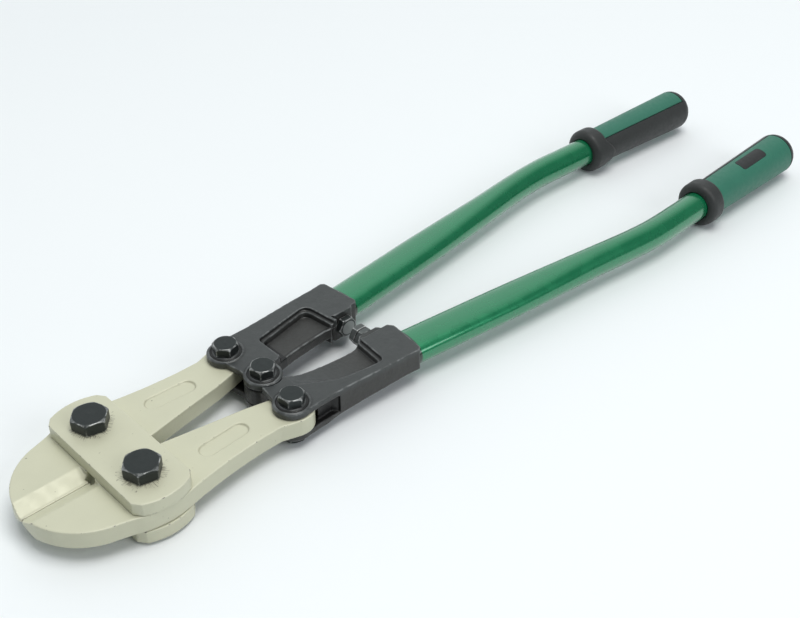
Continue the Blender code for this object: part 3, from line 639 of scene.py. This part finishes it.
def thread_rings(radius, pitch, end, start):
    """A thread's grooves from the shank's end to where it starts, after a chamfered tip."""
    depth, chamfer = pitch * 0.55, 0.0003
    rings = [round_ring(radius - depth - chamfer, end), round_ring(radius - depth, end + chamfer)]
    z = end + chamfer + pitch / 2
    while z < start:
        rings += [round_ring(radius, z - pitch * 0.08), round_ring(radius, z + pitch * 0.08)]
        rings += [round_ring(radius - depth, z + pitch * 0.5)]
        z += pitch
    return rings + [round_ring(radius, z)]


def placed(rings, x, y):
    return [[(x + px, y + py, MID_Z + z) for px, py, z in ring] for ring in rings]


def hex_bolt(node, body, x, y, sizes, seat, end, turn, finish="black_oxide"):
    """An upright bolt: its head stands on seat, and its threaded shank ends at end."""
    low = seat + GAP
    high = low + sizes[1]
    shank = sizes[2] / 2
    threads = thread_rings(shank, sizes[3], end, min(end + THREAD_LENGTH, seat - 0.002))
    rings = threads + [round_ring(shank, low)] + hex_head_rings(sizes, math.radians(turn), low, high)
    obj = skin(node, placed(rings, x, y))
    return show(obj, "look_" + node, body, "black_oxide", finish=finish, flat=True, reach=900.0)


def hex_nut(node, body, x, y, sizes, low, high, turn, finish="black_oxide"):
    """An upright nut between two heights, alike on both faces."""
    across, _, diameter, _, flat, slope = sizes
    top = across / 2 * flat
    bore, countersink = diameter / 2 + GAP, 0.0006
    turn = math.radians(turn)
    corners = [
        hex_ring(across - SOFT, turn, high, slope=slope, top=top),
        round_ring(top, high - SOFT * 0.15),
        round_ring(top - SOFT, high),
        round_ring(bore + countersink, high),
        round_ring(bore, high - countersink),
    ]
    mirrored = [[(px, py, low + high - z) for px, py, z in ring] for ring in corners]
    flanks = [hex_ring(across, turn, low + (high - low) * t) for t in (0.35, 0.65)]
    obj = skin(node, placed(mirrored[::-1] + flanks + corners, x, y), loop=True)
    return show(obj, "look_" + node, body, "black_oxide", finish=finish, flat=True, reach=900.0)


def lie_along_y(obj, side):
    """Turns an upright fastener about the stop's middle, so that its head faces inwards."""
    middle = Vector((STOP_X - HALF_LENGTH, 0, MID_Z))
    turn = Matrix.Rotation(math.radians(90 * side), 4, "X")
    obj.data.transform(Matrix.Translation(middle) @ turn @ Matrix.Translation(-middle))


def stop_screw(word, side):
    """The screw in a lever's boss. Only the right one has a locknut under its head."""
    boss = STOP_BOSS_END[side]
    body = word + "_handle"
    seat = -boss
    if side == RIGHT:
        low = -boss + GAP
        seat = low + STOP_NUT_HEIGHT
        nut = hex_nut("stop_nut_right", body, STOP_X, 0, STOP_SCREW, low, seat, 0, "rubbed_oxide")
        lie_along_y(nut, side)
    end = -boss - STOP_SHANK
    finish = "struck_oxide" if side == LEFT else "rubbed_oxide"
    screw = hex_bolt("stop_screw_" + word, body, STOP_X, 0, STOP_SCREW, seat, end, 0, finish)
    lie_along_y(screw, side)


def lever_fasteners():
    nut_high = -EAR_TOP - GAP
    nut_low = nut_high - LEVER_NUT_HEIGHT
    spots = [
        ("fork_{}_left", "left_handle", EYE.x, EYE.y, 13),
        ("fork_{}_right", "right_handle", EYE.x, -EYE.y, 37),
        ("centre_{}", "left_handle", CENTRE.x, 0, 44),
    ]
    for pattern, body, x, y, turn in spots:
        hex_bolt(pattern.format("bolt"), body, x, y, LEVER_BOLT, EAR_TOP, nut_low - 0.0007, turn)
        hex_nut(pattern.format("nut"), body, x, y, LEVER_BOLT, nut_low, nut_high, turn)


# ---------------------------------------------------------------- levers
def pocket_corners(side, inset):
    """The pocket seen from above, with each wall moved in. It runs out over the window."""
    outer = POCKET_OUTER[side]
    front, rear = outer[-1][0] + inset, POCKET_REAR - inset
    corners = [(front, -0.010, 0.001), (rear + 2 * REAR_WALL_SLANT, -0.010, 0.001)]
    for x, y, radius in outer:
        x = min(max(x, front), rear - REAR_WALL_SLANT)
        corners.append((x, y - inset, max(radius - inset / 2, 0.0005)))
    return rounded(corners)


def ramp_to(rear_height):
    """The floor of the right lever's pocket, which falls to this height at the rear wall."""
    front_height = LEVER_HALF - RAMP_STEP
    slope = (rear_height - front_height) / (POCKET_REAR - RAMP_FRONT)
    return lambda x: front_height + slope * (x - RAMP_FRONT)


def pocket_walls(side):
    """What fills the CAD pocket's square walls, and what then cuts stepped, sloping, rounded ones."""
    edge, outer = WINDOW_EDGE[side], POCKET_OUTER[side]
    sunk, shy = 0.0010, 0.0004  # how far the filling runs into the lever's walls, or stays off its edge
    front = outer[-1][0] - 0.0030
    fill = [(front, edge[0][1] + 0.0040), *[(x, y + shy) for x, y in edge[2:]]]
    fill += [(POCKET_REAR + 0.0033, edge[-1][1]), (POCKET_REAR - 0.0003, 0.0340)]
    fill += [*[(x, y + sunk) for x, y, _ in outer], (front, outer[-1][1] - sunk)]
    filled = prism("pocket_fill", flip(fill, side), WEB_TOP - 0.0003, LEVER_HALF - 0.00002)

    over = LEVER_HALF + PAST
    heights = (LEVER_HALF - LEDGE_DEPTH, WEB_TOP)
    ledge, floor = heights if side == LEFT else map(ramp_to, heights)
    step = prism("pocket_step", flip(pocket_corners(side, 0), side), ledge, over)
    at_floor = flip(pocket_corners(side, LEDGE_WIDTH + WALL_SLOPE), side)
    at_top = flip(pocket_corners(side, LEDGE_WIDTH - 0.0002), side)
    deep = prism("pocket_floor", at_floor, floor, over, top=at_top)
    return [filled], [step, deep]


def window_rim():
    """A low bead along the edge of the left lever's web, beside the window."""
    edge = smooth(WINDOW_EDGE[LEFT])
    inner = [(x, y + RIM_WIDTH) for x, y in edge]
    edge = [(x, y + 0.0001) for x, y in edge]
    return prism("rim", edge + inner[::-1], WEB_TOP - 0.0005, WEB_TOP + RIM_HEIGHT)


def lever(word, side):
    filled, cuts = pocket_walls(side)
    spots = [(EYE.x, EYE.y * side)]
    if side == LEFT:
        spots.append((CENTRE.x, 0))
    for x, y in spots:
        cuts.append(washer("upper_groove", x, y, GROOVE_RADII, EAR_TOP - GROOVE_DEPTH, EAR_TOP + PAST))
        cuts.append(washer("lower_groove", x, y, GROOVE_RADII, -EAR_TOP - PAST, GROOVE_DEPTH - EAR_TOP))
    rims = [window_rim()] if side == LEFT else []
    obj = forge("lever_" + word, filled, cuts, rims)
    show(obj, "look_lever_" + word, word + "_handle", "charcoal_coat", reach=400.0, spread=7)


# ---------------------------------------------------------------- handles
def blend(start, end, low, high, x):
    """Goes smoothly from start to end as x goes from low to high."""
    t = min(max((x - low) / (high - low), 0), 1)
    return start + (end - start) * t * t * (3 - 2 * t)


def handle_y(x):
    """Half the distance between the handles' centre lines: straight, a bend, then slightly toed in."""
    if x <= BEND_START:
        return SHOULDER[1] + HANDLE_SLOPE * (x - SHOULDER[0])
    toe = math.tan(TOE_IN)
    if x >= BEND_END:
        return HANDLE_Y - toe * (x - BEND_END)
    start = SHOULDER[1] + HANDLE_SLOPE * (BEND_START - SHOULDER[0])
    span = BEND_END - BEND_START
    t = (x - BEND_START) / span
    hermite = (2 * t**3 - 3 * t**2 + 1) * start + (t**3 - 2 * t**2 + t) * HANDLE_SLOPE * span
    return hermite + (3 * t**2 - 2 * t**3) * HANDLE_Y - (t**3 - t**2) * toe * span


def tube_ring(x, side, depth):
    """The tube's section at x, this far below its outside."""
    step = 0.0005
    slope = (handle_y(x + step) - handle_y(x - step)) / (2 * step)
    direction = Vector((1, slope)).normalized()
    width = blend(OVAL_HALF_WIDTH, TUBE_RADIUS, OVAL_END, ROUND_START, x) - depth
    height = blend(OVAL_HALF_HEIGHT, TUBE_RADIUS, OVAL_END, ROUND_START, x) - depth
    power = blend(2.5, 2.0, OVAL_END, ROUND_START, x)
    ring = []
    for i in range(ROUND_SIDES):
        turn = 2 * math.pi * i / ROUND_SIDES
        c, s = math.cos(turn), math.sin(turn)
        across = width * math.copysign(abs(c) ** (2 / power), c)
        z = height * math.copysign(abs(s) ** (2 / power), s)
        ring.append((x - direction.y * across, (handle_y(x) + direction.x * across) * side, MID_Z + z))
    return ring


def tube(word, side):
    start = SHOULDER[0] + GAP - CUP_DEPTH
    end = BEND_END + (TUBE_END - BEND_END) * math.cos(TOE_IN)
    lip = 0.0004
    stations = np.linspace(start + lip, end - lip, 74)
    outside = [tube_ring(x, side, 0) for x in stations]
    inside = [tube_ring(x, side, TUBE_WALL) for x in stations[::-1]]
    rings = [tube_ring(start, side, lip), *outside, tube_ring(end, side, lip)]
    rings += [tube_ring(end, side, TUBE_WALL - lip), *inside, tube_ring(start, side, TUBE_WALL - lip)]
    obj = skin("tube", rings, loop=True)
    show(obj, "look_handle_tube_" + word, word + "_handle", "green_paint")


# ---------------------------------------------------------------- grips
def grip_radius(x):
    return GRIP_RADIUS + (GRIP_END_RADIUS - GRIP_RADIUS) * (x - GRIP_START) / (GRIP_END - GRIP_START)


def arc_profile(x, radius, reach, start, end, steps):
    turns = np.radians(np.linspace(start, end, steps))
    return [(x + reach * math.cos(t), radius + reach * math.sin(t)) for t in turns]


def edged(start, end, first, second, count):
    """Values from start to end, with two more close to each end."""
    return [start, start + first, *np.linspace(start + second, end - second, count), end - first, end]


def core_profile():
    """The black grip from its bore out: collar, neck, body and rounded end."""
    bore, lip, tip = TUBE_RADIUS + GAP, 0.0004, 0.0005
    front, back = 0.0045, 0.0028  # the radii of the collar's two edges
    profile = [(TUBE_END + GAP, tip), (TUBE_END + GAP, bore)]
    profile += [(COLLAR_FRONT + lip, bore), (COLLAR_FRONT, bore + lip)]
    profile += arc_profile(COLLAR_FRONT + front, COLLAR_RADIUS - front, front, 172, 90, 10)
    profile += arc_profile(GRIP_START - 0.0040, COLLAR_RADIUS - back, back, 90, 20, 8)
    x, radius = profile[-1]
    for t in (0.33, 0.66, 0.95):
        fall = 1 - (1 - t) ** 2
        profile.append((x + (GRIP_START - x) * t, radius + (GRIP_RADIUS - radius) * fall))
    profile += [(x, grip_radius(x)) for x in edged(GRIP_START, GRIP_END, 0.0003, 0.0020, 40)]
    profile += arc_profile(GRIP_TIP - END_ROUND, GRIP_END_RADIUS - END_ROUND, END_ROUND, 86, 4, 12)
    return profile + [(GRIP_TIP, tip)]


def strip_angles():
    """Angles round a grip, close together where the black strip meets the green shell."""
    edge = math.radians(0.8)
    palm = np.linspace(-STRIP_HALF_ANGLE + edge, STRIP_HALF_ANGLE - edge, 28)
    back = np.linspace(STRIP_HALF_ANGLE + edge, 2 * math.pi - STRIP_HALF_ANGLE - edge, 72)
    return [*palm, *back]


def grip_point(x, radius, angle, side):
    """A point on a grip. The angle is from the strip's middle, which faces inwards before it is rolled."""
    turn = angle + GRIP_ROLL[side]
    across = math.cos(turn) * radius
    return (x, (HANDLE_Y - across) * side, MID_Z + math.sin(turn) * radius)


def grip_core(word, side):
    """The black moulding, sunk where the green shell lies."""
    rings = []
    for x, radius in core_profile():
        outside = radius > TUBE_RADIUS + 2 * GAP
        sunk = GRIP_START < x < GRIP_END and outside
        ring = []
        for angle in strip_angles():
            on_shell = angle > STRIP_HALF_ANGLE
            deep = SHELL_THICKNESS + GAP if sunk and on_shell else 0
            back = 0 if on_shell or not outside else lobe(x, angle)
            ring.append(grip_point(x + back, radius - deep, angle, side))
        rings.append(ring)
    return skin("grip_core_" + word, rings)


def lobe(x, angle):
    """How far back the collar's rear is drawn on the black strip: most in its middle, not at its edges."""
    share = math.cos(angle / STRIP_HALF_ANGLE * math.pi / 2) ** 2
    rise = blend(0, 1, COLLAR_FRONT + 0.004, COLLAR_FRONT + 0.012, x)
    fall = blend(1, 0, GRIP_START, GRIP_START + 0.022, x)
    return LOBE_REACH * share * rise * fall


def two_skins(name, outer, inner):
    """A closed body between two grids of points, joined round their border."""
    rows, columns = len(outer), len(outer[0])
    layer = rows * columns
    faces = []
    for i in range(rows - 1):
        for k in range(columns - 1):
            here = i * columns + k
            quad = [here, here + 1, here + columns + 1, here + columns]
            faces += [quad, [n + layer for n in quad[::-1]]]
    rim = [*range(columns)]
    rim += [i * columns + columns - 1 for i in range(1, rows)]
    rim += [(rows - 1) * columns + k for k in range(columns - 2, -1, -1)]
    rim += [i * columns for i in range(rows - 2, 0, -1)]
    for a, b in zip(rim, rim[1:] + rim[:1]):
        faces.append([a, b, b + layer, a + layer])
    return solid(name, [point for grid in (outer, inner) for row in grid for point in row], faces)


def grip_shell(word, side):
    """The green overmoulding, with its edges rounded."""
    edge, soft = 0.0004, 0.00035
    margin = GAP / GRIP_RADIUS * 1.2
    small = edge / GRIP_RADIUS
    first, last = STRIP_HALF_ANGLE + margin, 2 * math.pi - STRIP_HALF_ANGLE - margin
    angles = edged(first, last, small, 3 * small, 96)
    start, end = GRIP_START + GAP, GRIP_END - GAP
    outer, inner = [], []
    for x in edged(start, end, edge, 0.0015, 60):
        radius = grip_radius(x)
        depths = [soft if x in (start, end) or angle in (first, last) else 0 for angle in angles]
        outer.append([grip_point(x, radius - depth, angle, side) for angle, depth in zip(angles, depths)])
        inner.append([grip_point(x, radius - SHELL_THICKNESS, angle, side) for angle in angles])
    return two_skins("grip_shell_" + word, outer, inner)


def badge_block(side, grow):
    """A slab with round ends, which stands on the grip at the badge's angle."""
    low, high = 0.008, 0.025  # from the grip's axis
    half_length, half_width = BADGE_HALF_LENGTH + grow, BADGE_HALF_WIDTH + grow
    radius = half_width * 0.62
    outline = rounded([
        (-half_length, -half_width, radius), (half_length, -half_width, radius),
        (half_length, half_width, radius), (-half_length, half_width, radius),
    ], steps=7)
    obj = skin("badge_block", [[(BADGE_X + x, y, z) for x, y in outline] for z in (low, high)])
    turn = -side * (GRIP_ROLL[side] + BADGE_TURN[side] - math.pi / 2)
    place = Matrix.Translation((0, HANDLE_Y * side, MID_Z)) @ Matrix.Rotation(turn, 4, "X")
    obj.data.transform(place)
    return obj


def badge_piece(name, side, low, high, grow):
    """The grip's skin between two depths, inside the badge's outline grown by this much."""
    stations = np.linspace(BADGE_X - 0.020, BADGE_X + 0.020, 24)
    turns = [2 * math.pi * i / ROUND_SIDES for i in range(ROUND_SIDES)]
    rings = []
    for depth, places in ((high, stations), (low, stations[::-1])):
        for x in places:
            rings.append([grip_point(x, grip_radius(x) - depth, turn, side) for turn in turns])
    layer = skin(name, rings, loop=True)
    block = badge_block(side, grow)
    boolean(layer, [block], "INTERSECT")
    return bake(layer, block)


def grip(word, side):
    core, shell = grip_core(word, side), grip_shell(word, side)
    pocket = badge_piece("pocket", side, BADGE_THICKNESS + GAP, -0.0040, GAP)
    boolean(shell, [pocket], "DIFFERENCE")
    bake(shell, pocket)
    badge = badge_piece("badge", side, BADGE_THICKNESS, -0.0001, 0)
    middle = Vector((BEND_END - HALF_LENGTH, HANDLE_Y * side, MID_Z))
    toe = Matrix.Translation(middle) @ Matrix.Rotation(-side * TOE_IN, 4, "Z") @ Matrix.Translation(-middle)
    looks = (
        (core, "core", "black_rubber", "black_rubber"),
        (shell, "shell", "green_rubber", "green_rubber"),
        (badge, "badge", "black_rubber", "badge_rubber"),
    )
    for obj, kind, slot, finish in looks:
        obj.data.transform(toe)
        name = f"look_grip_{kind}_{word}"
        show(obj, name, word + "_handle", slot, finish=finish, flat=True, reach=800.0)


# ---------------------------------------------------------------- room, light and camera
def stage():
    bpy.ops.mesh.primitive_plane_add(size=12)
    floor = bpy.context.object
    floor.name = "floor"
    f = Finish("floor", Roughness=0.55)
    f.drive(Base_Color=f.mix(f.noise(0.6, 2), (0.85, 0.877, 0.887), (0.83, 0.862, 0.876)))
    floor.data.materials.append(f.material)


def sky():
    """A pale studio: bright overhead and behind the tool, dark low down in front of it, as gloss shows."""
    world = bpy.data.worlds.new("studio")
    bpy.context.scene.world = world
    world.use_nodes = True
    nodes, links = world.node_tree.nodes, world.node_tree.links
    place = nodes.new("ShaderNodeTexCoord")
    pole = nodes.new("ShaderNodeVectorMath")
    pole.operation = "DOT_PRODUCT"
    pole.inputs[1].default_value = (0.15, 0.75, 0.42)
    ramp = nodes.new("ShaderNodeValToRGB")
    links.new(place.outputs["Generated"], pole.inputs[0])
    links.new(pole.outputs["Value"], ramp.inputs["Fac"])
    links.new(ramp.outputs["Color"], nodes["Background"].inputs["Color"])
    ramp.color_ramp.elements[0].position = 0.20
    ramp.color_ramp.elements[0].color = (0.16, 0.17, 0.18, 1)
    ramp.color_ramp.elements[1].position = 0.62
    ramp.color_ramp.elements[1].color = (0.93, 0.98, 1.0, 1)
    nodes["Background"].inputs["Strength"].default_value = 0.90


def lamp(name, place, aim, size, power, colour):
    light = bpy.data.lights.new(name, "AREA")
    light.shape = "DISK"
    light.size = size
    light.energy = power
    light.color = colour
    obj = bpy.data.objects.new(name, light)
    bpy.context.scene.collection.objects.link(obj)
    obj.location = place
    obj.rotation_euler = (Vector(place) - Vector(aim)).to_track_quat("Z", "Y").to_euler()


def camera():
    """The view from above the nose's right, with the tool running away to the upper right."""
    azimuth, elevation = math.radians(-43.0), math.radians(36.71)
    level = math.cos(elevation)
    back = Vector((math.sin(azimuth) * level, -math.cos(azimuth) * level, math.sin(elevation)))
    right = Vector((0, 0, 1)).cross(back).normalized()
    up = back.cross(right)
    lens = bpy.data.cameras.new("camera")
    lens.lens = 56.74
    lens.sensor_width = 36.0
    obj = bpy.data.objects.new("camera", lens)
    bpy.context.scene.collection.objects.link(obj)
    turn = Matrix((right, up, back)).transposed().to_4x4()
    obj.matrix_world = Matrix.Translation((-0.4707, -0.4605, 0.4868)) @ turn
    bpy.context.scene.camera = obj


FINISHES = finishes()
head()
for side_word, side_sign in SIDES.items():
    lever(side_word, side_sign)
    stop_screw(side_word, side_sign)
    tube(side_word, side_sign)
    grip(side_word, side_sign)
lever_fasteners()
stage()
sky()
lamp("key", (0.2, -0.6, 3.6), (0, 0, 0), 2.4, 80, (1.0, 0.99, 0.97))
lamp("fill", (0.5, -2.9, 1.8), (0, 0, 0), 2.0, 36, (0.94, 0.97, 1.0))
camera()
bpy.context.scene.view_settings.view_transform = "Standard"
